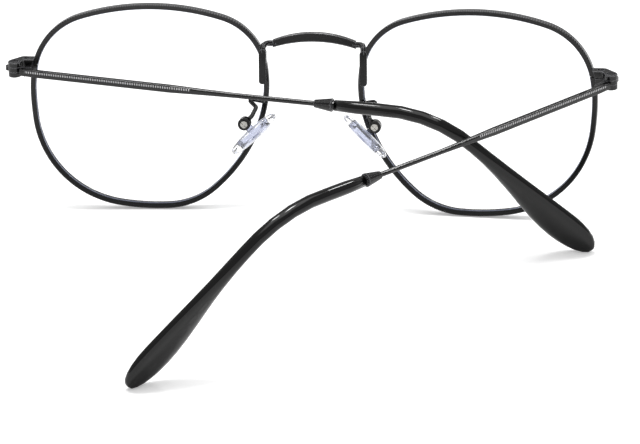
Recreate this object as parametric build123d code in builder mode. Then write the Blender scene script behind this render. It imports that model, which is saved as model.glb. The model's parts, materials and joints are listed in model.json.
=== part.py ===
from build123d import *
import os
from math import atan2, copysign, cos, degrees, radians, sin

# Hexagonal wire spectacles, lying folded: the front stands on its rims, both temples are swung in
# and crossed, and their tips rest on the same surface.
# Rest frame: +X is the wearer's left, +Y runs back along an opened temple, +Z is up.
# The left half is modelled, and mirrored in the plane X = 0 for the right half.

MM = 1.0

# Front
front_tilt = 9.2                    # top of the front leans forward, degrees
face_form = 3.5                     # each lens swings back at its temple side, degrees
lens_gap = 21.2 * MM                # between the two lens boxes
lens_box_width = 51.9 * MM          # the rim's middle line, boxed
lens_box_height = 45.5 * MM
base_curve_radius = 130.0 * MM      # the front surface's radius
# The lens shape is drawn in a box 1 wide and this high, then stretched to the lens box
drawn_height_share = 0.8767
# Six corners, as shares of half the box, going round from the lower outer corner
corner_shares = ((0.855, -0.748), (1.007, 0.231), (0.912, 0.765),
                 (-0.918, 0.773), (-1.003, 0.124), (-0.356, -0.968))
# Radius of the bowed side after each corner, and of each corner's round, as shares of the drawn width
side_radius_shares = (1.185, 1.135, 1.083, 0.882, 0.707, 0.950)
corner_radius_shares = (0.430, 0.500, 0.281, 0.256, 0.503, 0.330)

# Rim and lens
rim_wall = 1.1 * MM                 # seen from the front
rim_depth = 2.1 * MM
rim_bevel = 0.22 * MM
groove_depth = 0.42 * MM
lens_thickness = 1.2 * MM
lens_clearance = 0.02 * MM
rim_slit = 0.25 * MM                # the saw cut that lets the lens in

# Hinge and closing block
hinge_overhang = 3.5 * MM           # hinge axis outside the lens box
hinge_drop = 13.55 * MM             # hinge's middle below the top of the lens box
hinge_setback = 7.4 * MM            # behind the line through the lens boxes' middles
barrel_radius = 1.42 * MM
barrel_height = 3.4 * MM
knuckle_height = 1.04 * MM          # the temple's knuckle, in the middle
knuckle_gap = 0.05 * MM
slot_clearance = 0.15 * MM
block_depth = 2.2 * MM
block_lead = 0.35 * MM             # front of the block, ahead of the rim's middle
block_edge = 0.12 * MM
block_foot = 0.65 * MM              # the lower block reaches this far below the barrel
heel_reach = 2.1 * MM               # the stop on the temple's knuckle, from the axis
heel_width = 1.2 * MM
hinge_pin_radius = 0.60 * MM
hinge_pin_clearance = 0.04 * MM
screw_head_radius = 0.95 * MM
screw_head_height = 0.50 * MM
screw_head_sink = 0.15 * MM
screw_head_clearance = 0.06 * MM
screw_slot_width = 0.32 * MM
screw_slot_depth = 0.25 * MM
lock_screw_out = 1.20 * MM          # rim lock screw outside the lens box
lock_screw_radius = 0.50 * MM
lock_head_radius = 0.74 * MM
screw_seat_clearance = 0.02 * MM

# Temple arm
arm_side_offset = 0.80 * MM         # the arm runs outside the hinge axis
arm_drop = 0.40 * MM                # and a little below the knuckle's middle
arm_root = 1.75 * MM                # its end from the hinge axis
bar_height = 1.72 * MM
bar_thickness = 1.15 * MM
bar_fullness = 0.35                # 1 is an oval section, 0 a square-edged one
arm_sides = 12
bar_length = 38.0 * MM              # flat part of the arm
taper_length = 16.0 * MM
wire_diameter = 1.16 * MM
collar_start = 71.9 * MM            # from the hinge axis, along the arm
arm_bow = 1.44 * MM                 # the collar stands this far in from the arm's first heading
leaf_thickness = 0.55 * MM
leaf_length = 5.2 * MM

# Collar and tip
collar_length = 4.1 * MM
collar_small_radius = 0.88 * MM
collar_large_radius = 1.50 * MM
collar_edge = 0.12 * MM
collar_sides = 16
collar_neck_length = 0.55 * MM
collar_neck_radius = 1.08 * MM
wire_clearance = 0.02 * MM
temple_length = 145.8 * MM          # hinge axis to the end of the tip, along the middle
bend_start = 89.2 * MM
bend_radius = 20.9 * MM
bend_angle = 49.6                   # degrees
bend_lean = 24.3                    # the bend's plane leans in towards the head, degrees
tip_radius = 1.42 * MM              # round end of the tip at the collar
paddle_above = 2.15 * MM            # widest part of the tip, from the middle line
paddle_below = 6.0 * MM
paddle_thickness = 2.4 * MM
paddle_twist = 12.0                 # degrees, on top of the bend's lean
paddle_fullness = 0.68              # 1 is an oval section, 0 a square-edged one
spread_share = 0.46                 # along the tip, where it begins to spread
widest_share = 0.88
blunt_share = 0.96                  # how far the round end is drawn in
lip_share = 0.02
tip_stations = 20
tip_sides = 16
wire_sides = 8
core_reach = 26.0 * MM              # wire inside the tip, beyond the collar's neck

# Rest pose: the left temple is swung in, and the right arm lies over its tip, just past the bend
left_fold = 74.2                    # degrees from fully open
crossing_run = 5.13 * MM            # from the bend's end to where they cross

# Bridge
band_end_gap = 1.35 * MM            # each end of the band, short of the lens box
band_drop = 7.55 * MM               # top edge at the band's ends, below the top of the lens boxes
band_top_arch = 1.85 * MM
band_bottom_arch = 1.45 * MM
band_end_height = 1.75 * MM
band_depth = 1.15 * MM
band_setback = -0.3 * MM
band_round = 0.20 * MM
neck_radius = 0.68 * MM
leg_overlap = 0.6 * MM              # middle of each leg, inside the lens box
leg_drop = 9.15 * MM                # top of each leg, below the top of the lens boxes
leg_length = 7.8 * MM
leg_width = 1.65 * MM
leg_stand = 0.96 * MM               # back face of the legs, behind the rim's back
leg_depth = 1.3 * MM

# Nose pads
pad_box_overlap = 3.85 * MM         # pad box, inside the lens box's nose side
pad_box_setback = 9.3 * MM
pad_box_rise = -1.7 * MM
pad_box_radius = 1.40 * MM
pad_box_depth = 2.0 * MM
pad_arm_radius = 0.50 * MM
pad_arm_bend = 0.70 * MM
pad_slot_width = 1.10 * MM
pad_slot_radius = 0.92 * MM
stem_radius = 0.74 * MM
stem_thickness = 0.96 * MM
pad_screw_radius = 0.40 * MM
pad_screw_head_radius = 0.78 * MM
pad_screw_head_height = 0.42 * MM
pad_standoff = 3.10 * MM            # pad's middle from the screw's axis
pad_length = 13.0 * MM
pad_width = 7.0 * MM
pad_thickness = 2.4 * MM
pad_lean = 45.0                     # long axis off the vertical, seen from the front, degrees
pad_splay = 12.5                    # pads open towards the face, degrees
pad_rake = 11.5                     # lower end of each pad further back, degrees
pad_core_length = 8.0 * MM
pad_core_width = 3.6 * MM
pad_core_thickness = 0.5 * MM
pad_core_clearance = 0.02 * MM
pad_sides = 24
pad_layers = 6
pad_flat_share = 0.94             # of the half thickness, where the domed faces are cut flat

parts = {}


def keep(name, solid):
    """Hold a finished piece under its node name."""
    solid.label = name
    parts[name] = solid


def mirrored(solid):
    """The right-hand twin of a left-hand piece."""
    return mirror(solid, about=Plane.YZ)


# Places worked out from the sizes
lens_spacing = lens_gap + lens_box_width
hinge_half_span = lens_gap / 2 + lens_box_width + hinge_overhang
hinge_rise = lens_box_height / 2 - hinge_drop
lock_screw_inset = hinge_overhang - lock_screw_out
arm_bow_radius = collar_start ** 2 / arm_bow / 2
band_half_length = lens_gap / 2 - band_end_gap
band_rise = lens_box_height / 2 - band_drop
leg_inset = lens_gap / 2 + leg_overlap
leg_top_rise = lens_box_height / 2 - leg_drop
pad_box_inset = lens_gap / 2 + pad_box_overlap

# The front is drawn upright about the middle of the box line, then leaned forward.
stand = Location((0, 0, 0), (front_tilt, 0, 0))
form = radians(face_form)
lens_plane = Plane(origin=(lens_spacing / 2, 0, 0),
                   x_dir=(cos(form), sin(form), 0), z_dir=(sin(form), -cos(form), 0))
lens_place = stand * lens_plane.location
hinge_axis = (stand * Location((hinge_half_span, hinge_setback, hinge_rise))).position


crossing = bend_start + radians(bend_angle) * bend_radius + crossing_run
crossing_side = hinge_half_span * 2 - crossing * sin(radians(left_fold))
right_fold = degrees(atan2(crossing_side, crossing * cos(radians(left_fold))))


def curve_depth(x, rise):
    """How far the rims' middle surface lies behind the box line, at a place on the front."""
    out = x - lens_spacing / 2
    return (out ** 2 + rise ** 2) / base_curve_radius / 2 + out * sin(form)


# Rims and lenses, drawn on the lens plane with +Z forward
def lens_outline():
    """Arcs of the lens shape on the rim's middle line, each as three points with their outward ways."""
    corners = [(x / 2, y / 2 * drawn_height_share) for x, y in corner_shares]
    with BuildSketch() as face:
        with BuildLine():
            for i, corner in enumerate(corners):
                following = corners[(i + 1) % len(corners)]
                RadiusArc(corner, following, -side_radius_shares[i])
        make_face()
        for corner, share in zip(corners, corner_radius_shares):
            vertex = face.vertices().sort_by_distance((*corner, 0))[0]
            fillet(vertex, share)
    arcs = face.sketch.face().outer_wire().edges().sort_by(heading)
    starts, middles = [], []
    for arc in arcs:
        first = 0 if (arc @ 0).cross(arc @ 0.5).Z > 0 else 1
        starts.append((stretched(arc @ first), outward(arc, first)))
        middles.append((stretched(arc @ 0.5), outward(arc, 0.5)))
    return [[starts[i], middles[i], starts[(i + 1) % len(arcs)]] for i in range(len(arcs))]


def heading(arc):
    """The way to an arc's middle from the middle of the lens shape, as an angle."""
    return atan2((arc @ 0.5).Y, (arc @ 0.5).X)


def stretched(point):
    """A point of the drawn lens shape, in the lens box."""
    return Vector(point.X * lens_box_width, point.Y * lens_box_height / drawn_height_share)


def outward(arc, share):
    """The way out of the lens shape, square to it after stretching."""
    across = (arc % share).cross(Vector(0, 0, 1))
    if across.dot(arc @ share) < 0:
        across = across * -1
    return Vector(across.X / lens_box_width, across.Y / lens_box_height * drawn_height_share).normalized()


outline_arcs = lens_outline()


def lens_face(grow):
    """The lens shape, moved out by a distance."""
    with BuildSketch() as face:
        with BuildLine():
            for arc in outline_arcs:
                ThreePointArc(*[point + way * grow for point, way in arc])
        make_face()
    return face.sketch.face()


def lens_shell(grow, thickness):
    """The lens shape as a curved plate, half its thickness on each side of the base curve."""
    with BuildPart() as plate:
        add(lens_face(grow))
        extrude(amount=rim_depth * 4, both=True)
        with Locations((0, 0, -base_curve_radius)):
            Sphere(base_curve_radius + thickness / 2, rotation=(90, 0, 0), mode=Mode.INTERSECT)
            Sphere(base_curve_radius - thickness / 2, rotation=(90, 0, 0), mode=Mode.SUBTRACT)
    return plate.part


def rim_edges(solid):
    """The edges that run round a rim or lens, without the short ones across its depth."""
    return [edge for edge in solid.edges() if abs(edge.tangent_at(0.5).Z) < cos(radians(45))]


def bevelled_lens(clearance):
    """The lens, its edge bevelled on both sides, or the room it takes in the rim."""
    with BuildPart() as body:
        add(lens_shell(groove_depth - rim_wall / 2 + clearance, lens_thickness + clearance * 2))
        chamfer(rim_edges(body), length=groove_depth)
    return body.part


lens = bevelled_lens(0)
with BuildPart() as rim:
    add(lens_shell(rim_wall / 2, rim_depth))
    chamfer(rim_edges(rim), length=rim_bevel)
    add(lens_shell(-rim_wall / 2, rim_depth * 2), mode=Mode.SUBTRACT)
    add(bevelled_lens(lens_clearance), mode=Mode.SUBTRACT)

rim_filled = lens_place * lens_shell(rim_wall / 2, rim_depth * 4)


# Closing blocks and hinge, drawn at the hinge axis: +X outwards, +Y back, +Z up
hinge_plane = Plane(origin=hinge_axis, x_dir=(1, 0, 0), z_dir=(0, 0, 1))
block_root = hinge_overhang + rim_wall * 2
rim_lag = hinge_setback - curve_depth(hinge_half_span - hinge_overhang, hinge_rise)
block_front = -rim_lag - block_lead
block_back = block_front + block_depth
lock_screw_place = (-lock_screw_inset, (block_front + block_back) / 2)
slot_height = knuckle_height / 2 + knuckle_gap
head_pocket = screw_head_height + screw_head_sink


def block_profile():
    """Plan of a closing block: rim seat, hollow waist and the hinge knuckle's round."""
    waist = (-barrel_radius * 1.35, block_back)
    shoulder = (-barrel_radius * 0.9, block_front)
    with BuildSketch() as plan:
        with BuildLine():
            Polyline((-block_root, block_front), shoulder, (barrel_radius * 0.75, -barrel_radius * 0.65),
                     (0, 0), (-barrel_radius * 0.95, barrel_radius * 0.2), waist,
                     (-block_root, block_back), close=True)
        make_face()
        for corner, share in ((shoulder, 0.8), (waist, 0.5)):
            vertex = plan.vertices().sort_by_distance((*corner, 0))[0]
            fillet(vertex, barrel_radius * share)
        Circle(barrel_radius)
    return plan.sketch


def knuckle_slot(low, high):
    """Room for the temple's knuckle and for its heel, from one height to another."""
    swing = heel_reach + slot_clearance
    with BuildPart() as slot:
        with BuildSketch(hinge_plane.offset(low)):
            Circle(swing)
            with Locations((-swing, 0)):
                Rectangle(swing * 2 - barrel_radius * 0.8, swing * 3, mode=Mode.SUBTRACT)
            Circle(barrel_radius + slot_clearance)
        extrude(amount=high - low)
    return slot.part


def screw_holes(low, high, pin, lock):
    """Two round holes for the hinge screw and the rim lock screw."""
    with BuildPart() as holes:
        with BuildSketch(hinge_plane.offset(low)):
            Circle(pin)
            with Locations(lock_screw_place):
                Circle(lock)
        extrude(amount=high - low)
    return holes.part


def closing_block(bottom, top, foot):
    """One half of the block that shuts the rim, from its bottom to its top face."""
    with BuildPart() as block:
        with BuildSketch(hinge_plane.offset(bottom)):
            add(block_profile())
        extrude(amount=top - bottom)
        if foot:
            with BuildSketch(hinge_plane.offset(bottom - foot)):
                add(block_profile())
                with Locations((block_root / 2, 0)):
                    Rectangle(block_root + barrel_radius * 2.6, block_root * 2, mode=Mode.SUBTRACT)
            extrude(amount=foot)
        add(knuckle_slot(-slot_height, slot_height), mode=Mode.SUBTRACT)
        add(rim_filled, mode=Mode.SUBTRACT)
    return block.part


with BuildPart() as endpiece_upper:
    add(closing_block(rim_slit / 2, barrel_height / 2, 0))
    chamfer(endpiece_upper.edges().group_by(Axis.Z)[-1].filter_by(GeomType.CIRCLE), length=block_edge)
    add(screw_holes(-barrel_height, barrel_height, hinge_pin_radius + screw_seat_clearance,
                    lock_screw_radius + screw_seat_clearance), mode=Mode.SUBTRACT)
    add(screw_holes(barrel_height / 2 - head_pocket, barrel_height,
                    screw_head_radius + screw_head_clearance,
                    lock_head_radius + screw_head_clearance), mode=Mode.SUBTRACT)

with BuildPart() as endpiece_lower:
    add(closing_block(-barrel_height / 2, -rim_slit / 2, block_foot))
    add(screw_holes(-barrel_height, barrel_height, hinge_pin_radius + screw_seat_clearance,
                    lock_screw_radius + screw_seat_clearance), mode=Mode.SUBTRACT)


def screw(place, head_radius, head_height, shank_radius, shank_length, crossed):
    """A slotted or crossed screw: its head's underside lies on the plane, head up."""
    with BuildPart() as body:
        with BuildSketch(place):
            Circle(head_radius)
        extrude(amount=head_height)
        with BuildSketch(place):
            Circle(shank_radius)
        extrude(amount=-shank_length)
        with BuildSketch(place.offset(head_height - screw_slot_depth)):
            Rectangle(head_radius * 3, screw_slot_width)
            if crossed:
                Rectangle(screw_slot_width, head_radius * 3)
        extrude(amount=screw_slot_depth * 2, mode=Mode.SUBTRACT)
    return body.part


head_seat = barrel_height / 2 - head_pocket
hinge_screw = screw(hinge_plane.offset(head_seat), screw_head_radius, screw_head_height,
                    hinge_pin_radius, head_seat + barrel_height / 2, False)
lock_plane = Plane(origin=hinge_plane.from_local_coords((*lock_screw_place, head_seat)),
                   x_dir=(cos(radians(35)), sin(radians(35)), 0), z_dir=(0, 0, 1))
rim_lock_screw = screw(lock_plane, lock_head_radius, screw_head_height, lock_screw_radius,
                       head_seat + barrel_height / 2 + block_foot / 2, False)

with BuildPart() as cut_rim:
    add(lens_place * rim.part)
    with Locations(hinge_plane.location * Location((-block_root, 0, 0))):
        Box(block_root * 2, rim_depth * 8, rim_slit, mode=Mode.SUBTRACT)

# Temple, drawn open at the hinge axis: +X along the arm, +Y in towards the head, +Z up


def arm_plane(along, pitch):
    """Section plane across the arm: +Z along it, +X towards the head, +Y up."""
    dip = radians(pitch)
    turn = along / arm_bow_radius
    inward = arm_bow_radius * (1 - cos(turn))
    ahead = arm_bow_radius * sin(turn)
    origin = Vector(ahead * cos(dip), inward - arm_side_offset, -ahead * sin(dip) - arm_drop)
    run = Vector(cos(turn) * cos(dip), sin(turn), -cos(turn) * sin(dip))
    side = Vector(-sin(turn) * cos(dip), cos(turn), sin(turn) * sin(dip))
    return Plane(origin=origin, x_dir=side, z_dir=run)


def bend_plane(pitch):
    """Plane of the tip's bend: +X on along the arm, +Y up and away from the head."""
    start = arm_plane(collar_start, pitch)
    lean = radians(bend_lean)
    rise = start.y_dir * cos(lean) - start.x_dir * sin(lean)
    return Plane(origin=start.origin, x_dir=start.z_dir, z_dir=start.z_dir.cross(rise))


def bend_point(along):
    """Middle line of the tip on the bend's plane, and its heading below the arm."""
    straight = bend_start - collar_start
    arc = radians(bend_angle) * bend_radius
    beyond = along - collar_start - straight
    turn = min(max(beyond, 0), arc) / bend_radius
    run = max(beyond - arc, 0)
    x = min(along - collar_start, straight) + bend_radius * sin(turn) + run * cos(turn)
    y = -bend_radius * (1 - cos(turn)) - run * sin(turn)
    return x, y, turn


def tip_plane(along, pitch, twist):
    """Section plane across the tip: +Z along it, +X up in the bend's plane, then twisted."""
    x, y, turn = bend_point(along)
    bend = bend_plane(pitch)
    origin = bend.from_local_coords((x, y, 0))
    run = bend.x_dir * cos(turn) - bend.y_dir * sin(turn)
    rise = bend.x_dir * sin(turn) + bend.y_dir * cos(turn)
    return Plane(origin=origin, x_dir=rise, z_dir=run).rotated((0, 0, twist))


def blend(start, end, share):
    """A value part of the way from one to another."""
    return start + (end - start) * share


def ease(share, begin, finish):
    """Rises smoothly from 0 to 1 between two shares."""
    part = min(max((share - begin) / (finish - begin), 0), 1)
    return part * part * (3 - 2 * part)


def cushion(half_height, half_thickness, fullness, sides):
    """A closed section between an ellipse, fullness 1, and a rectangle, fullness 0."""
    points = []
    for k in range(sides):
        across, up = cos(radians(360 * (k + 0.5) / sides)), sin(radians(360 * (k + 0.5) / sides))
        points.append((half_height * copysign(abs(across) ** fullness, across),
                       half_thickness * copysign(abs(up) ** fullness, up)))
    return points


def wire_path(pitch, end):
    """Middle line of the wire inside the tip, from the collar to a place along the tip."""
    x, y, turn = bend_point(end)
    bend = bend_plane(pitch)
    straight = bend_start - collar_start
    arc_end = bend_point(bend_start + radians(bend_angle) * bend_radius)
    with BuildLine(bend) as path:
        Line((0, 0), (straight, 0))
        RadiusArc((straight, 0), arc_end[:2], bend_radius)
        Line(arc_end[:2], (x, y))
    return path.line


def temple_tip(pitch):
    """The moulded tip: round at the collar, bent down and spread into a paddle."""
    start = collar_start + collar_length + collar_neck_length
    with BuildPart() as tip:
        for k in range(tip_stations + 1):
            share = 1 - (1 - k / tip_stations) ** 1.5
            swell = ease(share, spread_share, widest_share)
            above = blend(tip_radius, paddle_above, swell)
            below = blend(tip_radius, paddle_below, swell)
            closing = max(share - widest_share, 0) / (1 - widest_share) * blunt_share
            shut = (1 - closing ** 2) ** 0.5
            half_height = (above + below) / 2 * shut
            half_thickness = blend(tip_radius, paddle_thickness / 2, swell) * shut ** 0.4
            fullness = blend(1, paddle_fullness, swell)
            lip = min(share / lip_share, 1) ** 0.5
            half_height, half_thickness = half_height * blend(0.86, 1, lip), half_thickness * blend(0.86, 1, lip)
            with BuildSketch(tip_plane(blend(start, temple_length, share), pitch, paddle_twist * swell)):
                with Locations(((above - below) / 2, 0)):
                    Polygon(*cushion(half_height, half_thickness, fullness, tip_sides), align=None)
        loft(ruled=True)
        with BuildSketch(tip_plane(collar_start, pitch, 0)):
            RegularPolygon(wire_diameter / 2 + wire_clearance, wire_sides)
        sweep(path=wire_path(pitch, collar_start + core_end), mode=Mode.SUBTRACT)
    return tip.part


core_end = bend_start - collar_start + radians(bend_angle) * bend_radius + core_reach / 2


def temple_arm(pitch):
    """The metal arm: a flat bar that tapers to round wire and runs on inside the tip."""
    half_bar, half_thick, half_wire = bar_height / 2, bar_thickness / 2, wire_diameter / 2
    taper_end = bar_length + taper_length
    stations = (
        (arm_root, half_bar * 0.86, half_thick, bar_fullness),
        (leaf_length, half_bar, half_thick, bar_fullness),
        (bar_length, half_bar, half_thick, bar_fullness),
        (taper_end - taper_length / 2, blend(half_bar, half_wire, 0.6), blend(half_thick, half_wire, 0.6),
         blend(bar_fullness, 1, 0.6)),
        (taper_end, half_wire, half_wire, 1),
        (collar_start, half_wire, half_wire, 1),
    )
    with BuildPart() as arm:
        for along, half_height, half_thickness, fullness in stations:
            with BuildSketch(arm_plane(along, pitch)):
                Polygon(*cushion(half_thickness, half_height, fullness, arm_sides), align=None)
        loft(ruled=True)
        with BuildSketch(tip_plane(collar_start, pitch, 0)):
            RegularPolygon(half_wire, wire_sides)
        sweep(path=wire_path(pitch, collar_start + core_end - wire_diameter))
    return arm.part


def temple_collar(pitch):
    """The tapered collar that hides the tip's mouth, with the narrow neck behind it."""
    place = tip_plane(collar_start, pitch, 0)
    with BuildPart() as collar:
        for along, radius in ((0, collar_small_radius), (collar_length - collar_edge, collar_large_radius),
                              (collar_length, collar_large_radius - collar_edge)):
            with BuildSketch(place.offset(along)):
                RegularPolygon(radius, collar_sides)
        loft(ruled=True)
        with BuildSketch(place.offset(collar_length)):
            RegularPolygon(collar_neck_radius, collar_sides)
        extrude(amount=collar_neck_length)
        with BuildSketch(place):
            RegularPolygon(wire_diameter / 2 + wire_clearance, wire_sides)
        extrude(amount=collar_length + collar_neck_length, mode=Mode.SUBTRACT)
    return collar.part


def hinge_leaf():
    """The temple's hinge piece: knuckle, heel stop and the tongue brazed to the arm."""
    tongue_side = bar_thickness / 2 - arm_side_offset
    with BuildPart() as leaf:
        with BuildSketch(Plane.XY.offset(-knuckle_height / 2)):
            Circle(barrel_radius)
            with Locations((-heel_reach / 2, 0)):
                RectangleRounded(heel_reach, heel_width, heel_width * 0.4)
            with Locations((leaf_length / 2, tongue_side + leaf_thickness / 2)):
                RectangleRounded(leaf_length, leaf_thickness, leaf_thickness * 0.4)
        extrude(amount=knuckle_height)
        with BuildSketch(Plane.XY.offset(-knuckle_height)):
            Circle(hinge_pin_radius + hinge_pin_clearance)
        extrude(amount=knuckle_height * 2, mode=Mode.SUBTRACT)
    return leaf.part


open_plane = Plane(origin=hinge_axis, x_dir=(0, 1, 0), z_dir=(0, 0, 1))


def folded(solid, fold):
    """A temple piece at the left hinge, swung in by a fold angle."""
    return Location(hinge_axis) * Rotation(0, 0, fold) * Location(-hinge_axis) * open_plane.location * solid


# The arm's pitch lets the tip touch the surface that the rims stand on
rim_foot = cut_rim.part.bounding_box().min.Z
arm_pitch = 0
for attempt in range(3):
    reach = temple_tip(arm_pitch).bounding_box()
    arm_pitch += degrees((reach.min.Z + hinge_axis.Z - rim_foot) / reach.max.X)

leaf_piece = hinge_leaf()
with BuildPart() as seated_arm:
    add(temple_arm(arm_pitch))
    add(leaf_piece, mode=Mode.SUBTRACT)

temple_pieces = {
    "temple_hinge_leaf": leaf_piece,
    "temple_arm": seated_arm.part,
    "temple_collar": temple_collar(arm_pitch),
    "temple_tip": temple_tip(arm_pitch),
}

# Bridge, drawn upright: +X left, +Y back, +Z up
rim_plate = lens_place * lens_shell(rim_wall / 2, rim_depth)
rim_plates = stand.inverse() * (rim_plate + mirrored(rim_plate))
band_plane = Plane(origin=(0, band_setback + band_depth / 2, 0), x_dir=(1, 0, 0), z_dir=(0, -1, 0))
leg_back = curve_depth(leg_inset, leg_top_rise - leg_length / 2) + rim_depth / 2 + leg_stand
leg_plane = Plane(origin=(0, leg_back, 0), x_dir=(1, 0, 0), z_dir=(0, -1, 0))
neck_start = Vector(band_half_length - neck_radius, band_setback, band_rise - band_end_height / 2)
neck_end = Vector(leg_inset, leg_back - leg_depth / 2, leg_top_rise - neck_radius)
neck_corner = Vector(blend(neck_start.X, neck_end.X, 0.8), band_setback, neck_start.Z)
neck_elbow = Vector(neck_end.X, neck_end.Y, neck_end.Z + neck_radius * 2)

with BuildPart() as bridge:
    with BuildSketch(band_plane):
        with BuildLine():
            ThreePointArc((-band_half_length, band_rise), (0, band_rise + band_top_arch),
                          (band_half_length, band_rise))
            Line((band_half_length, band_rise), (band_half_length, band_rise - band_end_height))
            ThreePointArc((band_half_length, band_rise - band_end_height),
                          (0, band_rise - band_end_height + band_bottom_arch),
                          (-band_half_length, band_rise - band_end_height))
            Line((-band_half_length, band_rise - band_end_height), (-band_half_length, band_rise))
        make_face()
    extrude(amount=band_depth)
    chamfer(bridge.edges().filter_by(GeomType.CIRCLE), length=band_round)
    for side in (1, -1):
        across = Vector(side, 0, 0)
        points = [Vector(point.X * side, point.Y, point.Z)
                  for point in (neck_start, neck_corner, neck_elbow, neck_end)]
        with BuildLine() as neck_line:
            FilletPolyline(*points, radius=neck_radius * 1.45)
        with BuildSketch(Plane(origin=points[0], z_dir=across)):
            RegularPolygon(neck_radius, wire_sides)
        sweep(path=neck_line.line)
        with BuildSketch(leg_plane):
            with Locations((leg_inset * side, leg_top_rise - leg_length / 2)):
                RectangleRounded(leg_width, leg_length, leg_width * 0.4)
        extrude(amount=leg_depth)
    add(rim_plates, mode=Mode.SUBTRACT)

# Nose pad assembly, drawn upright with the front. The pad rocks about the screw through its box
box_centre = Vector(pad_box_inset, pad_box_setback, pad_box_rise)
back_way = Vector(0, 1, 0)
toward_nose = Vector(-cos(radians(pad_lean)), 0, -sin(radians(pad_lean)))
box_plane = Plane(origin=box_centre, x_dir=toward_nose, z_dir=back_way)
splay, rake = radians(pad_splay), radians(pad_rake)
pad_normal = toward_nose * cos(splay) + back_way * sin(splay)
pad_across = back_way * cos(splay) - toward_nose * sin(splay)
pad_along = box_plane.y_dir * cos(rake) - pad_across * sin(rake)
pad_plane = Plane(origin=box_centre + pad_normal * pad_standoff, x_dir=pad_along, z_dir=pad_normal)

with BuildPart() as pad_box:
    with BuildSketch(box_plane.offset(-pad_box_depth / 2)):
        Circle(pad_box_radius)
    extrude(amount=pad_box_depth)
    with BuildSketch(box_plane.offset(-pad_slot_width / 2)):
        with Locations((pad_box_radius - pad_slot_radius, 0)):
            Rectangle(pad_box_radius * 2, pad_box_radius * 3)
    extrude(amount=pad_slot_width, mode=Mode.SUBTRACT)
    with BuildSketch(box_plane.offset(-pad_box_depth)):
        Circle(pad_screw_radius + screw_seat_clearance)
    extrude(amount=pad_box_depth * 2, mode=Mode.SUBTRACT)

pad_screw = screw(box_plane.offset(pad_box_depth / 2), pad_screw_head_radius, pad_screw_head_height,
                  pad_screw_radius, pad_box_depth, True)

# Way of the pad arm's wire from the back of the rim to the front of the box: out, round and down.
# Shares of the reach outwards, backwards and downwards
pad_arm_shares = ((0.10, 0.20, 0.0), (1.05, 0.26, -0.20), (0.40, 0.62, 0.20), (0.62, 0.86, 0.66))
rim_exit = Vector(lens_gap / 2 + rim_wall / 4, 0, hinge_rise * 0.2)
rim_exit = rim_exit + back_way * (curve_depth(rim_exit.X, rim_exit.Z) + rim_depth / 4)
box_front = box_centre - back_way * (pad_box_depth / 2)
reach = box_front - rim_exit
arm_points = [rim_exit]
for out_share, back_share, down_share in pad_arm_shares:
    arm_points.append(rim_exit + Vector(reach.X * out_share, reach.Y * back_share, reach.Z * down_share))
arm_points.append(box_front + back_way * (pad_box_depth / 4))

with BuildPart() as pad_arm:
    with BuildLine() as arm_line:
        FilletPolyline(*arm_points, radius=pad_arm_bend)
    with BuildSketch(Plane(origin=arm_points[0], z_dir=arm_points[1] - arm_points[0])):
        RegularPolygon(pad_arm_radius, wire_sides)
    sweep(path=arm_line.line)
    add(rim_plates, mode=Mode.SUBTRACT)
    with BuildSketch(box_plane.offset(-pad_box_depth / 2)):
        Circle(pad_box_radius)
    extrude(amount=pad_box_depth, mode=Mode.SUBTRACT)


def pad_insert(grow):
    """The pad's stiff inner plate and the stem that stands in the box."""
    stem_length = pad_standoff
    with BuildPart() as insert:
        with BuildSketch(pad_plane.offset(-pad_core_thickness / 2 - grow)):
            Polygon(*cushion(pad_core_length / 2 + grow, pad_core_width / 2 + grow, 1, pad_sides), align=None)
        extrude(amount=pad_core_thickness + grow * 2)
        with BuildSketch(box_plane.offset(-stem_thickness / 2 - grow)):
            Circle(stem_radius + grow)
            with Locations((stem_length / 2, 0)):
                Rectangle(stem_length, stem_radius * 2 + grow * 2)
        extrude(amount=stem_thickness + grow * 2)
    return insert.part


with BuildPart() as pad_core:
    add(pad_insert(0))
    with BuildSketch(box_plane.offset(-pad_box_depth)):
        Circle(pad_screw_radius + hinge_pin_clearance)
    extrude(amount=pad_box_depth * 2, mode=Mode.SUBTRACT)

with BuildPart() as nose_pad:
    for k in range(pad_layers + 1):
        level = pad_thickness * (k / pad_layers - 0.5)
        drawn_in = (1 - (level * 2 / pad_thickness * pad_flat_share) ** 2) ** 0.5
        with BuildSketch(pad_plane.offset(level)):
            Polygon(*cushion(pad_length / 2 * drawn_in, pad_width / 2 * drawn_in, 1, pad_sides), align=None)
    loft(ruled=True)
    add(pad_insert(pad_core_clearance), mode=Mode.SUBTRACT)


# Everything set down: the rims' lowest point at Z = 0, front to back about Y = 0
front_pieces = {
    "rim": cut_rim.part,
    "lens": lens_place * lens,
    "endpiece_upper": endpiece_upper.part,
    "endpiece_lower": endpiece_lower.part,
    "hinge_screw": hinge_screw,
    "rim_lock_screw": rim_lock_screw,
    "pad_arm": stand * pad_arm.part,
    "pad_box": stand * pad_box.part,
    "pad_screw": stand * pad_screw,
    "pad_core": stand * pad_core.part,
    "nose_pad": stand * nose_pad.part,
}
for name, solid in front_pieces.items():
    keep("left_" + name, solid)
    keep("right_" + name, mirrored(solid))
for name, solid in temple_pieces.items():
    keep("left_" + name, folded(solid, left_fold))
    keep("right_" + name, mirrored(folded(solid, right_fold)))
keep("bridge", stand * bridge.part)

boxes = [solid.bounding_box() for solid in parts.values()]
near, far = min(box.min.Y for box in boxes), max(box.max.Y for box in boxes)
settle = Location((0, -(near + far) / 2, -rim_foot))
os.makedirs("parts", exist_ok=True)
for name, solid in parts.items():
    placed = settle * solid
    placed.label = name
    export_step(placed, f"parts/{name}.step")
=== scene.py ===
"""Looks for hexagonal wire spectacles: finishes for the fixed CAD frame, soft light, floor and camera."""

import json
import logging
import math
from abc import ABC, abstractmethod
from dataclasses import dataclass
from enum import Enum
from functools import cache

import bmesh
import bpy
import numpy as np
from mathutils import Matrix, Vector


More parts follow.
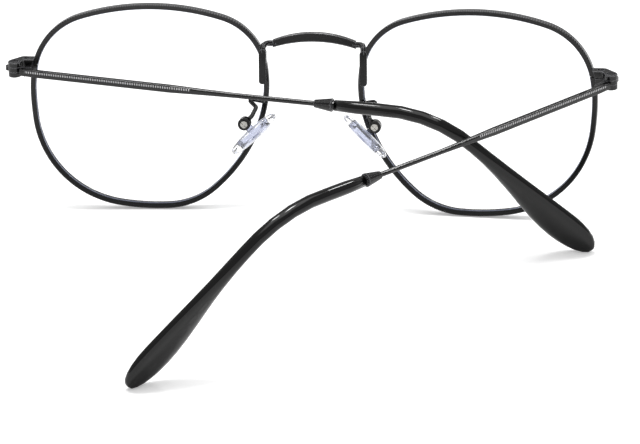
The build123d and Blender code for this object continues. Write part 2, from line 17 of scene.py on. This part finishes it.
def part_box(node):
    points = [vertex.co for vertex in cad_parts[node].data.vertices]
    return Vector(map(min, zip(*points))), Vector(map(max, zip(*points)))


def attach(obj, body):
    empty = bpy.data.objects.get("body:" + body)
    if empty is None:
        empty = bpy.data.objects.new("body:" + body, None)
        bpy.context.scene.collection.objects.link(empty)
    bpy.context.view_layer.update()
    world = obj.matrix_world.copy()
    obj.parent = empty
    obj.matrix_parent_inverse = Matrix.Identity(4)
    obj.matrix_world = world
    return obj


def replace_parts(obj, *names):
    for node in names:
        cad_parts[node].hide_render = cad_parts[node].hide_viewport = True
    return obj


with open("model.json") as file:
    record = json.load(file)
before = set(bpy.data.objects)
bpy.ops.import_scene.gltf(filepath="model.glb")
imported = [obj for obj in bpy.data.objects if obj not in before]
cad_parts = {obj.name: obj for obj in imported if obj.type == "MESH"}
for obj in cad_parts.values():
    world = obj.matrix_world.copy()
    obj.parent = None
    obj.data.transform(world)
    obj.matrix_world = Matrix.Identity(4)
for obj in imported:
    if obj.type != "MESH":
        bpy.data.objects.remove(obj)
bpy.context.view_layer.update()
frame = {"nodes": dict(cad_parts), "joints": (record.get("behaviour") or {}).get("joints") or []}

MM = 0.001
UP = Vector((0, 0, 1))
# Corners of a CAD mesh that lie nearer than this are one corner
WELD_DISTANCE = 0.001 * MM

MATH = "ShaderNodeMath"
VECTOR_MATH = "ShaderNodeVectorMath"
# Sockets of a Mix node that mixes colours
MIX_MASK, MIX_UNDER, MIX_OVER, MIX_RESULT = 0, 6, 7, 2
# The sRGB curve: a straight slope up to a limit, and a power above it
SRGB_LIMIT, SRGB_SLOPE, SRGB_OFFSET, SRGB_POWER = 0.04045, 12.92, 0.055, 2.4

Triple = tuple[float, float, float]
Colour = tuple[float, float, float, float]
Socket = bpy.types.NodeSocket
Feed = float | tuple[float, ...] | Socket
Feeds = dict[str | int, Feed]


class Side(Enum):
    """The wearer's two sides."""

    LEFT = "left"
    RIGHT = "right"

    def node(self, piece: str) -> str:
        """Name this side's copy of a piece."""
        return f"{self.value}_{piece}"

    def body(self, part: str) -> str:
        """Name this side's copy of a moving body."""
        return f"{part}_{self.value}"


def linear(code: str) -> Colour:
    """Turn an sRGB hex colour into linear light.

    Args:
        code: Six hex digits with a leading hash.

    Returns:
        Red, green, blue and an alpha of 1.
    """
    light = []
    for start in (1, 3, 5):
        value = int(code[start : start + 2], 16) / 255
        curved = ((value + SRGB_OFFSET) / (1 + SRGB_OFFSET)) ** SRGB_POWER
        light.append(value / SRGB_SLOPE if value <= SRGB_LIMIT else curved)
    red, green, blue = light
    return red, green, blue, 1.0


@dataclass
class Tree:
    """A material's node tree, filled a node at a time."""

    material: bpy.types.Material

    def node(self, kind: str, feeds: Feeds | None = None, **settings: object) -> bpy.types.Node:
        """Add a node.

        Args:
            kind: Blender's node type.
            feeds: Input socket name or number to its fixed value, or to the output socket that feeds it.
            settings: Properties of the node itself.

        Returns:
            The new node.
        """
        added = self.material.node_tree.nodes.new(kind)
        for name, value in settings.items():
            setattr(added, name, value)
        for key, feed in (feeds or {}).items():
            if isinstance(feed, Socket):
                self.material.node_tree.links.new(feed, added.inputs[key])
            else:
                added.inputs[key].default_value = feed
        return added


@dataclass(frozen=True)
class Finish:
    """A procedural finish: a slightly uneven, finely grained surface. Its sizes are in metres."""

    name: str
    colour: str
    roughness: float
    metallic: float = 0.0
    ior: float = 1.5
    specular: float = 0.5
    clearness: float = 0.0
    grain_size: float = 0.25 * MM
    grain_depth: float = 0.004 * MM
    grain_detail: float = 3.0
    smudge_grains: float = 20.0
    roughness_spread: float = 0.06

    def grain(self, tree: Tree, size: float) -> Socket:
        """Add fine noise in the piece's own coordinates, which go with it in every pose.

        Args:
            tree: The material's tree.
            size: Real size of a grain in metres.

        Returns:
            The noise's value.
        """
        place = tree.node("ShaderNodeTexCoord").outputs["Object"]
        feeds = {"Vector": place, "Scale": 1 / size, "Detail": self.grain_detail}
        return tree.node("ShaderNodeTexNoise", feeds).outputs[0]

    def paint(self, tree: Tree) -> Feed:
        """Give the surface's colour, which is the same all over."""
        return linear(self.colour)

    def shader(self, tree: Tree) -> Socket:
        """Add the main shader, with uneven roughness and a grain that catches the light.

        Args:
            tree: The material's tree.

        Returns:
            The shader.
        """
        smudge = self.grain(tree, self.grain_size * self.smudge_grains)
        low, high = self.roughness - self.roughness_spread, self.roughness + self.roughness_spread
        rough = tree.node("ShaderNodeMapRange", {"Value": smudge, "To Min": low, "To Max": high})
        grain = self.grain(tree, self.grain_size)
        bump = tree.node("ShaderNodeBump", {"Height": grain, "Distance": self.grain_depth, "Strength": 1.0})
        feeds = {"Base Color": self.paint(tree), "Roughness": rough.outputs[0], "Normal": bump.outputs[0],
                 "Metallic": self.metallic, "IOR": self.ior, "Specular IOR Level": self.specular,
                 "Transmission Weight": self.clearness}
        return tree.node("ShaderNodeBsdfPrincipled", feeds).outputs[0]

    def surface(self, tree: Tree) -> Socket:
        """Give what the surface shows: here the main shader alone."""
        return self.shader(tree)

    def build(self) -> bpy.types.Material:
        """Make the material.

        Returns:
            The finished material.
        """
        material = bpy.data.materials.new(self.name)
        material.use_nodes = True
        material.node_tree.nodes.clear()
        tree = Tree(material)
        tree.node("ShaderNodeOutputMaterial", {"Surface": self.surface(tree)})
        return material


@dataclass(frozen=True)
class PaintedHighlightFinish(Finish, ABC):
    """A finish with painted highlights of another colour on it."""

    # Colour of the painted highlights
    highlight_colour: str = "#ffffff"

    @abstractmethod
    def marks(self, tree: Tree) -> Socket:
        """Give 1 where the painted highlights show and 0 elsewhere."""

    def paint(self, tree: Tree) -> Feed:
        """Colour the painted highlights over the coat.

        Args:
            tree: The material's tree.

        Returns:
            The surface's colour.
        """
        under, over = linear(self.colour), linear(self.highlight_colour)
        feeds = {MIX_MASK: self.marks(tree), MIX_UNDER: under, MIX_OVER: over}
        return tree.node("ShaderNodeMix", feeds, data_type="RGBA").outputs[MIX_RESULT]


@dataclass(frozen=True)
class MilledFinish(PaintedHighlightFinish):
    """A coated metal with a row of fine ticks milled into it, each painted lighter as a highlight."""

    centre: Triple = (0.0, 0.0, 0.0)
    # The real rows are 0.46 mm apart; drawn a little wider, so that they still show at the picture's size
    pitch: float = 0.56 * MM
    tick_share: float = 0.42

    @abstractmethod
    def row(self, tree: Tree, offset: Socket) -> tuple[Socket, Socket]:
        """Lay the row of ticks out; each kind of milled piece has its own.

        Args:
            tree: The material's tree.
            offset: The place on the piece, measured from the row's centre.

        Returns:
            How far along the row the place is, and 1 where the row shows, else 0.
        """

    def marks(self, tree: Tree) -> Socket:
        """Cut the row into ticks.

        Args:
            tree: The material's tree.

        Returns:
            1 on a tick, which gets a painted highlight, and 0 elsewhere.
        """
        place = tree.node("ShaderNodeTexCoord").outputs["Object"]
        offset = tree.node(VECTOR_MATH, {0: place, 1: self.centre}, operation="SUBTRACT").outputs[0]
        along, shown = self.row(tree, offset)
        count = tree.node(MATH, {0: along, 1: self.pitch}, operation="DIVIDE").outputs[0]
        cycle = tree.node(MATH, {0: count}, operation="FRACT").outputs[0]
        tick = tree.node(MATH, {0: cycle, 1: self.tick_share}, operation="LESS_THAN").outputs[0]
        return tree.node(MATH, {0: tick, 1: shown}, operation="MULTIPLY").outputs[0]


@dataclass(frozen=True)
class MilledRim(MilledFinish):
    """Drawn wire, milled all the way round on the side that looks away from the lens, under thin lacquer.

    It reads as black, with a fine dark grey rhythm of painted highlights where the light catches the ticks.
    """

    # Painted highlight on the rim's ticks: dark grey
    highlight_colour: str = "#4a4a4d"
    # Mean reach from the lens's centre to its rim, which turns an angle into a length
    radius: float = 25 * MM
    # Cosine of the furthest that a milled face turns away from straight outwards
    outward_limit: float = 0.6

    def row(self, tree: Tree, offset: Socket) -> tuple[Socket, Socket]:
        """Lay the ticks round the lens, on the faces that look outwards.

        Args:
            tree: The material's tree.
            offset: The place on the rim, measured from the lens's centre.

        Returns:
            How far round the place is, and 1 where the surface looks outwards, else 0.
        """
        split = tree.node("ShaderNodeSeparateXYZ", {0: offset})
        sideways, upwards = split.outputs["X"], split.outputs["Z"]
        angle = tree.node(MATH, {0: upwards, 1: sideways}, operation="ARCTAN2").outputs[0]
        along = tree.node(MATH, {0: angle, 1: self.radius}, operation="MULTIPLY").outputs[0]
        level = tree.node("ShaderNodeCombineXYZ", {"X": sideways, "Z": upwards}).outputs[0]
        outward = tree.node(VECTOR_MATH, {0: level}, operation="NORMALIZE").outputs[0]
        normal = tree.node("ShaderNodeNewGeometry").outputs["Normal"]
        facing = tree.node(VECTOR_MATH, {0: normal, 1: outward}, operation="DOT_PRODUCT").outputs["Value"]
        shown = tree.node(MATH, {0: facing, 1: self.outward_limit}, operation="GREATER_THAN").outputs[0]
        return along, shown


@dataclass(frozen=True)
class MilledArm(MilledFinish):
    """Flattened wire with ticks milled in a band along its side, each painted pale as a highlight.

    It reads as black with a fine pale ladder from the hinge to where the arm turns round.
    """

    # Painted highlight on the arm's ticks: nearly white
    highlight_colour: str = "#d8d8da"
    run: Triple = (1.0, 0.0, 0.0)
    # Where the ticks begin and end, along the arm and up its side
    reach: tuple[float, float] = (3.0 * MM, 43.0 * MM)
    band: tuple[float, float] = (0.10 * MM, 0.56 * MM)

    def row(self, tree: Tree, offset: Socket) -> tuple[Socket, Socket]:
        """Lay the ticks along the arm, in a band between two heights.

        Args:
            tree: The material's tree.
            offset: The place on the arm, measured from the hinge.

        Returns:
            How far along the arm the place is, and 1 inside the band, else 0.
        """
        run = Vector(self.run)
        rise = (UP - run * run.z).normalized()
        measured, inside = [], []
        for way, (low, high) in ((run, self.reach), (rise, self.band)):
            feeds = {0: offset, 1: tuple(way)}
            value = tree.node(VECTOR_MATH, feeds, operation="DOT_PRODUCT").outputs["Value"]
            limits = {0: value, 1: (low + high) / 2, 2: (high - low) / 2}
            measured.append(value)
            inside.append(tree.node(MATH, limits, operation="COMPARE").outputs[0])
        shown = tree.node(MATH, {0: inside[0], 1: inside[1]}, operation="MULTIPLY").outputs[0]
        return measured[0], shown


@dataclass(frozen=True)
class EdgeHighlightFinish(PaintedHighlightFinish):
    """A dark coat with painted highlights: fine lighter lines along its sharp edges."""

    # Painted highlight along the sharp edges
    highlight_colour: str = "#8c8c90"
    edge_radius: float = 0.12 * MM
    # Cosine of the turn between the real and the rounded surface from which the edge highlight is painted
    edge_limit: float = 0.97
    edge_samples: int = 4

    def marks(self, tree: Tree) -> Socket:
        """Find the sharp edges for the painted highlight, where a rounded surface would look another way
        than the real one.

        Args:
            tree: The material's tree.

        Returns:
            1 on an edge and 0 elsewhere.
        """
        feeds = {"Radius": self.edge_radius}
        rounded = tree.node("ShaderNodeBevel", feeds, samples=self.edge_samples).outputs[0]
        flat = tree.node("ShaderNodeNewGeometry").outputs["Normal"]
        match = tree.node(VECTOR_MATH, {0: rounded, 1: flat}, operation="DOT_PRODUCT").outputs["Value"]
        return tree.node(MATH, {0: match, 1: self.edge_limit}, operation="LESS_THAN").outputs[0]


@dataclass(frozen=True)
class ClearFinish(Finish):
    """A clear material that lets light through to what is behind it, and to the floor."""

    shade: str = "#f2f5f7"
    clearness: float = 1.0

    def surface(self, tree: Tree) -> Socket:
        """Let light straight through to what the piece would shade, so that its shadow stays faint.

        Args:
            tree: The material's tree.

        Returns:
            The main shader, with a clear one in its place for shadows.
        """
        shadow = tree.node("ShaderNodeLightPath").outputs["Is Shadow Ray"]
        through = tree.node("ShaderNodeBsdfTransparent", {"Color": linear(self.shade)}).outputs[0]
        return tree.node("ShaderNodeMixShader", {0: shadow, 1: self.shader(tree), 2: through}).outputs[0]


@dataclass(frozen=True)
class CardFinish(Finish):
    """A matt card that is a little lighter to the camera, so that shadows on it stay faint."""

    glow_colour: str = "#ffffff"
    lift: float = 0.32

    def surface(self, tree: Tree) -> Socket:
        """Add a faint glow that only the camera sees, straight or through the lenses.

        Args:
            tree: The material's tree.

        Returns:
            The main shader with the glow on it.
        """
        path = tree.node("ShaderNodeLightPath")
        rays = {0: path.outputs["Is Camera Ray"], 1: path.outputs["Is Transmission Ray"]}
        seen = tree.node(MATH, rays, operation="MAXIMUM").outputs[0]
        strength = tree.node(MATH, {0: seen, 1: self.lift}, operation="MULTIPLY").outputs[0]
        feeds = {"Color": linear(self.glow_colour), "Strength": strength}
        glow = tree.node("ShaderNodeEmission", feeds).outputs[0]
        return tree.node("ShaderNodeAddShader", {0: self.shader(tree), 1: glow}).outputs[0]


# Black lacquer over a drawn nickel-alloy wire: close to black, with a soft sheen along each edge
BLACK_METAL = Finish("black_lacquered_wire", "#060607", roughness=0.25, specular=0.4)
# The same lacquer on small brazed and turned pieces, with painted highlights along their sharp edges
BLACK_EDGE_HIGHLIT = EdgeHighlightFinish("black_lacquered_small_parts", "#080809", roughness=0.25, specular=0.5)
# Turned steel screws blacked in an oil bath: a little greyer and duller than the lacquer, with painted
# highlights along their sharp edges
BLACK_SCREW = EdgeHighlightFinish("oil_blacked_turned_steel", "#151517", roughness=0.36)
# Bright turned nickel silver: mirrors the pale room, so it stands out from the black
PLAIN_SCREW = Finish("bright_turned_nickel_silver", "#c9c7c2", roughness=0.22, metallic=1.0)
# Injection-moulded cellulose propionate, tumbled to a gloss: black with clean highlights
BLACK_TIP = Finish("tumbled_black_propionate", "#050505", roughness=0.08, ior=1.47, specular=0.45,
                   roughness_spread=0.02)
# Cast resin lens with an anti-glare coat: nearly invisible against a pale ground
CLEAR_LENS = ClearFinish("coated_clear_resin_lens", "#ffffff", roughness=0.02, ior=1.5, specular=0.12,
                         grain_depth=0.0002 * MM, shade="#fdfdfe", roughness_spread=0.01)
# The lens's ground and polished bevel, seen through the resin: a pale painted highlight with a cool tint
LENS_BEVEL_HIGHLIGHT = Finish("polished_resin_bevel_painted_highlight", "#c3c9de", roughness=0.2, ior=1.5)
# Moulded silicone pad: clear, soft, with rounded highlights
CLEAR_PAD = ClearFinish("moulded_clear_silicone", "#fdfdfe", roughness=0.07, ior=1.38, clearness=0.93,
                        grain_depth=0.0004 * MM, shade="#e9eaec", roughness_spread=0.02)
# Stiff insert moulded into the pad: grey and slightly blue through the silicone
PAD_CORE = ClearFinish("moulded_smoky_insert", "#b9bed2", roughness=0.05, ior=1.43, clearness=0.97,
                       grain_depth=0.0004 * MM, shade="#d2d5dc", roughness_spread=0.02)
# Matt white card under the object: an even, pale ground with a faint tooth
WHITE_CARD = CardFinish("matt_white_card", "#efefef", roughness=0.8, grain_size=1.5 * MM,
                        grain_depth=0.002 * MM)


@cache
def coat(finish: Finish) -> bpy.types.Material:
    """Give a finish's material, made once for all the pieces that have it."""
    return finish.build()


def dress(node: str, finish: Finish) -> None:
    """Put a finish on a CAD node.

    Args:
        node: The node's name.
        finish: The finish for all its slots.
    """
    mesh = frame["nodes"][node].data
    if not mesh.materials:
        mesh.materials.append(coat(finish))
    for index in range(len(mesh.materials)):
        mesh.materials[index] = coat(finish)
    logging.info("%s dressed in %s", node, finish.name)


def middle_of(node: str) -> Vector:
    """Find the middle of a CAD node's box."""
    low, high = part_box(node)
    return (low + high) / 2


def cad_shape(node: str) -> bmesh.types.BMesh:
    """Copy the mesh of a CAD node, its faces joined at their shared corners.

    Args:
        node: The node's name.

    Returns:
        The copy, in the frame's coordinates.
    """
    source = frame["nodes"][node]
    shape = bmesh.new()
    shape.from_mesh(source.data)
    shape.transform(source.matrix_world)
    bmesh.ops.remove_doubles(shape, verts=shape.verts, dist=WELD_DISTANCE)
    return shape


def made(name: str, shape: bmesh.types.BMesh, finish: Finish) -> bpy.types.Object:
    """Turn a mesh under construction into a piece.

    Args:
        name: The piece's name.
        shape: The mesh's shape, in the frame's coordinates.
        finish: The piece's finish.

    Returns:
        The piece, smooth shaded.
    """
    mesh = bpy.data.meshes.new(name)
    shape.to_mesh(mesh)
    shape.free()
    for face in mesh.polygons:
        face.use_smooth = True
    mesh.materials.append(coat(finish))
    piece = bpy.data.objects.new(name, mesh)
    bpy.context.scene.collection.objects.link(piece)
    return piece


@dataclass
class LensEdge:
    """The polished bevel of one lens: a hair-thin painted highlight where the lens enters the rim."""

    side: Side
    width: float = 0.16 * MM
    # How far the ribbon lies behind the lens's rear face
    lift: float = 0.03 * MM
    # An edge of the rear face is sharper than this, between faces of which one looks squarely back
    crease: float = math.radians(25)
    rear_limit: float = 0.9

    def bounds_rear(self, edge: bmesh.types.BMEdge) -> bool:
        """Tell whether an edge of the lens's mesh bounds its rear face.

        Args:
            edge: An edge of the mesh.

        Returns:
            True where the mesh turns sharply there and one side looks back.
        """
        if len(edge.link_faces) != 2 or edge.calc_face_angle() <= self.crease:
            return False
        return max(face.normal.y for face in edge.link_faces) > self.rear_limit

    def loop(self) -> list[Vector]:
        """Find the edge of the lens's rear face on the CAD mesh.

        Returns:
            The points of the face's edge, in order, in the frame's coordinates.
        """
        shape = cad_shape(self.side.node("lens"))
        rear_edges = [edge for edge in shape.edges if self.bounds_rear(edge)]
        corners = dict.fromkeys(corner for edge in rear_edges for corner in edge.verts)
        points = [corner.co.copy() for corner in corners]
        shape.free()
        middle = sum(points, Vector()) / len(points)
        return sorted(points, key=lambda point: math.atan2(point.z - middle.z, point.x - middle.x))

    def build(self) -> bpy.types.Object:
        """Lay a thin ribbon, painted as a highlight, along the edge of the rear face.

        Returns:
            The ribbon, riding on the front.
        """
        points = self.loop()
        middle = sum(points, Vector()) / len(points)
        rise = Vector((0, self.lift, 0))
        shape = bmesh.new()
        rows = []
        for point in points:
            inward = (middle - point).normalized() * self.width
            rows.append((shape.verts.new(point + rise), shape.verts.new(point + rise + inward)))
        for (outer, inner), (next_outer, next_inner) in zip(rows, rows[1:] + rows[:1]):
            shape.faces.new((outer, inner, next_inner, next_outer))
        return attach(made(self.side.node("lens_bevel"), shape, LENS_BEVEL_HIGHLIGHT), "front")


@dataclass
class Front:
    """Rims, lenses, bridge, closing blocks and screws."""

    block_nodes: tuple[str, ...] = ("endpiece_upper", "endpiece_lower")
    screw_nodes: tuple[str, ...] = ("rim_lock_screw", "hinge_screw")

    def rim_finish(self, side: Side) -> Finish:
        """Lay the ticks of one rim out round its own middle.

        Args:
            side: The rim's side.

        Returns:
            The rim's finish.
        """
        return MilledRim(f"milled_lacquered_rim_{side.value}", BLACK_METAL.colour,
                         roughness=BLACK_METAL.roughness, centre=tuple(middle_of(side.node("rim"))))

    def build(self) -> list[bpy.types.Object]:
        """Dress the front's nodes and line its lenses.

        Returns:
            The bevels of both lenses.
        """
        dress("bridge", BLACK_EDGE_HIGHLIT)
        for side in Side:
            dress(side.node("rim"), self.rim_finish(side))
            dress(side.node("lens"), CLEAR_LENS)
            for name in self.block_nodes:
                dress(side.node(name), BLACK_EDGE_HIGHLIT)
            for name in self.screw_nodes:
                dress(side.node(name), BLACK_SCREW)
        return [LensEdge(side).build() for side in Side]


@dataclass
class NosePads:
    """Wire arms, boxes, screws and the clear pads with their inserts."""

    length: float = 13.0 * MM
    width: float = 7.3 * MM
    thickness: float = 2.4 * MM
    # Powers that shape the pad: under 1, the oval's sides and the dome's edge fill out
    side_power: float = 0.82
    dome_power: float = 0.5
    rings: int = 10
    spokes: int = 32

    def ways(self, node: str) -> tuple[Vector, Vector]:
        """Find how a CAD pad lies, from the spread of its mesh.

        Args:
            node: The pad's node.

        Returns:
            Its way along and its way across, both pointing up.
        """
        shape = cad_shape(node)
        corners = np.array([corner.co for corner in shape.verts])
        shape.free()
        # The columns are the ways of least, middle and greatest spread: through, across and along
        columns = np.linalg.eigh(np.cov(corners.T))[1]
        across, along = Vector(columns[:, 1]), Vector(columns[:, 2])
        return along * math.copysign(1, along.z), across * math.copysign(1, across.z)

    def rings_of(self, shape: bmesh.types.BMesh, node: str) -> list[list[bmesh.types.BMVert]]:
        """Set the corners of a smooth, domed oval that narrows a little to its ends.

        Args:
            shape: The mesh under construction.
            node: The CAD pad that gives the place.

        Returns:
            Rings of corners from one face of the pad to the other.
        """
        centre = middle_of(node)
        along, across = self.ways(node)
        half_length, half_width = along * self.length / 2, across * self.width / 2
        half_thickness = along.cross(across) * self.thickness / 2
        grid = []
        for ring in range(self.rings + 1):
            slope = math.pi * (ring / self.rings - 0.5)
            reach = math.cos(slope) ** self.dome_power
            height = half_thickness * math.sin(slope)
            if ring in (0, self.rings):
                grid.append([shape.verts.new(centre + height)] * self.spokes)
                continue
            row = []
            for spoke in range(self.spokes):
                turn = math.tau * spoke / self.spokes
                spread = math.copysign(abs(math.sin(turn)) ** self.side_power, math.sin(turn))
                level = half_length * math.cos(turn) + half_width * spread
                row.append(shape.verts.new(centre + level * reach + height))
            grid.append(row)
        return grid

    def pad(self, side: Side) -> bpy.types.Object:
        """Model one pad.

        Args:
            side: The pad's side.

        Returns:
            The pad, in place of the CAD pad and riding with it.
        """
        node = side.node("nose_pad")
        shape = bmesh.new()
        grid = self.rings_of(shape, node)
        for low, high in zip(grid, grid[1:]):
            for index in range(self.spokes):
                other = (index + 1) % self.spokes
                # A pole is one corner for the whole ring, so the faces there have three corners
                corners = dict.fromkeys((low[index], low[other], high[other], high[index]))
                shape.faces.new(tuple(corners))
        bmesh.ops.recalc_face_normals(shape, faces=shape.faces)
        pad = made(side.node("smooth_pad"), shape, CLEAR_PAD)
        rounding = pad.modifiers.new("round", "SUBSURF")
        rounding.levels = rounding.render_levels = 1
        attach(pad, side.body("pad"))
        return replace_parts(pad, node)

    def build(self) -> list[bpy.types.Object]:
        """Dress the nodes of the nose pads and model the pads.

        Returns:
            Both pads.
        """
        for side in Side:
            dress(side.node("pad_arm"), BLACK_METAL)
            dress(side.node("pad_box"), BLACK_METAL)
            dress(side.node("pad_screw"), PLAIN_SCREW)
            dress(side.node("pad_core"), PAD_CORE)
        return [self.pad(side) for side in Side]


@dataclass
class Temple:
    """One folding temple: hinge piece, milled arm, collar and moulded tip."""

    side: Side
    # How far the arm's middle line lies below the hinge's place
    arm_drop: float = 0.40 * MM
    # Edges sharper than this stay sharp on the tip, as at its mouth
    mouth_angle: float = math.radians(60)

    def hinge_place(self) -> Vector:
        """Find the temple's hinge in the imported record."""
        joints = {joint["name"]: joint for joint in frame["joints"]}
        return Vector(joints[self.side.node("temple_hinge")]["pos_m"])

    def arm_finish(self) -> Finish:
        """Lay the ticks of the arm out from the hinge towards the collar.

        Returns:
            The arm's finish.
        """
        start = self.hinge_place() - UP * self.arm_drop
        run = (middle_of(self.side.node("temple_collar")) - start).normalized()
        return MilledArm(f"milled_lacquered_arm_{self.side.value}", BLACK_METAL.colour,
                         roughness=BLACK_METAL.roughness, centre=tuple(start), run=tuple(run))

    def tip_skin(self) -> bpy.types.Object:
        """Model the tip's tumbled skin: the moulded form with its highlights running on without a break.

        Returns:
            The skin, in place of the CAD tip and riding with it.
        """
        node = self.side.node("temple_tip")
        skin = made(self.side.node("tip_skin"), cad_shape(node), BLACK_TIP)
        skin.data.set_sharp_from_angle(angle=self.mouth_angle)
        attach(skin, self.side.body("temple"))
        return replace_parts(skin, node)

    def build(self) -> list[bpy.types.Object]:
        """Dress the nodes of the temple and model the tip's skin.

        Returns:
            The skin alone.
        """
        dress(self.side.node("temple_hinge_leaf"), BLACK_EDGE_HIGHLIT)
        dress(self.side.node("temple_collar"), BLACK_EDGE_HIGHLIT)
        dress(self.side.node("temple_arm"), self.arm_finish())
        return [self.tip_skin()]


@dataclass(frozen=True)
class Lamp:
    """A square soft light: where it hangs and its edge in metres, and its power in watts."""

    name: str
    place: Triple
    edge: float
    power: float

    def build(self, target: Vector) -> None:
        """Hang the light so that it looks at the object.

        Args:
            target: The place that it looks at.
        """
        light = bpy.data.lights.new(self.name, "AREA")
        light.size, light.energy = self.edge, self.power
        lamp = bpy.data.objects.new(self.name, light)
        lamp.location = self.place
        lamp.rotation_mode = "QUATERNION"
        lamp.rotation_quaternion = (target - Vector(self.place)).to_track_quat("-Z", "Y")
        bpy.context.scene.collection.objects.link(lamp)


@dataclass
class Studio:
    """The white table and the soft light round it."""

    table_half: float = 4.0
    room_colour: str = "#ffffff"
    room_strength: float = 0.42
    target: Triple = (0.0, 0.0, 0.01)
    lamps: tuple[Lamp, ...] = (
        Lamp("ceiling", (0.0, 0.05, 1.5), edge=1.6, power=13.0),
        Lamp("key", (0.02, -0.12, 1.2), edge=0.2, power=4.4),
        Lamp("strip_0", (0.45, -0.13, 1.2), edge=0.16, power=2.6),
        Lamp("strip_1", (-0.6, -0.76, 1.15), edge=0.16, power=2.6),
    )

    def floor(self) -> None:
        """Lay the table under the object."""
        half = self.table_half
        corners = [(-half, -half, 0), (half, -half, 0), (half, half, 0), (-half, half, 0)]
        mesh = bpy.data.meshes.new("table")
        mesh.from_pydata(corners, [], [(0, 1, 2, 3)])
        mesh.materials.append(coat(WHITE_CARD))
        table = bpy.data.objects.new("table", mesh)
        bpy.context.scene.collection.objects.link(table)

    def room(self) -> None:
        """Surround the scene with even, pale light."""
        world = bpy.data.worlds.new("pale_room")
        world.use_nodes = True
        background = world.node_tree.nodes["Background"]
        background.inputs["Color"].default_value = linear(self.room_colour)
        background.inputs["Strength"].default_value = self.room_strength
        bpy.context.scene.world = world

    def build(self) -> None:
        """Set up table, light and the plain view of colours."""
        self.floor()
        self.room()
        for lamp in self.lamps:
            lamp.build(Vector(self.target))
        bpy.context.scene.view_settings.view_transform = "Standard"


@dataclass
class PhotoCamera:
    """The photograph's camera: its place in metres, its turns in degrees and its lens in pixels."""

    place: Triple = (-0.114406, 0.814187, 0.386606)
    yaw: float = 7.54
    pitch: float = 24.27
    roll: float = -1.66
    focal_pixels: float = 4243.6
    picture_width_pixels: int = 640
    sensor_width: float = 36.0
    nearest: float = 0.05
    farthest: float = 20.0

    def turn(self) -> Matrix:
        """Work out how the camera is turned.

        Returns:
            The rotation, whose columns point right, up and backwards.
        """
        yaw, pitch, roll = (math.radians(angle) for angle in (self.yaw, self.pitch, self.roll))
        ahead = Vector((math.sin(yaw) * math.cos(pitch), -math.cos(yaw) * math.cos(pitch), -math.sin(pitch)))
        level = ahead.cross(UP).normalized()
        upright = level.cross(ahead)
        right = level * math.cos(roll) + upright * math.sin(roll)
        up = upright * math.cos(roll) - level * math.sin(roll)
        return Matrix((right, up, -ahead)).transposed().to_4x4()

    def build(self) -> None:
        """Stand the camera where the photograph was taken from."""
        lens = bpy.data.cameras.new("photo_camera")
        lens.sensor_width = self.sensor_width
        lens.lens = self.focal_pixels * self.sensor_width / self.picture_width_pixels
        lens.clip_start, lens.clip_end = self.nearest, self.farthest
        camera = bpy.data.objects.new("photo_camera", lens)
        camera.matrix_world = Matrix.Translation(self.place) @ self.turn()
        bpy.context.scene.collection.objects.link(camera)
        bpy.context.scene.camera = camera


def main() -> None:
    """Dress the frame, build what stands in for its soft and shiny pieces, and set the scene."""
    logging.basicConfig(level=logging.INFO, format="%(message)s")
    for part in (Front(), NosePads(), Temple(Side.LEFT), Temple(Side.RIGHT)):
        for piece in part.build():
            logging.info("%s built", piece.name)
    Studio().build()
    PhotoCamera().build()


if __name__ == "__main__":
    main()
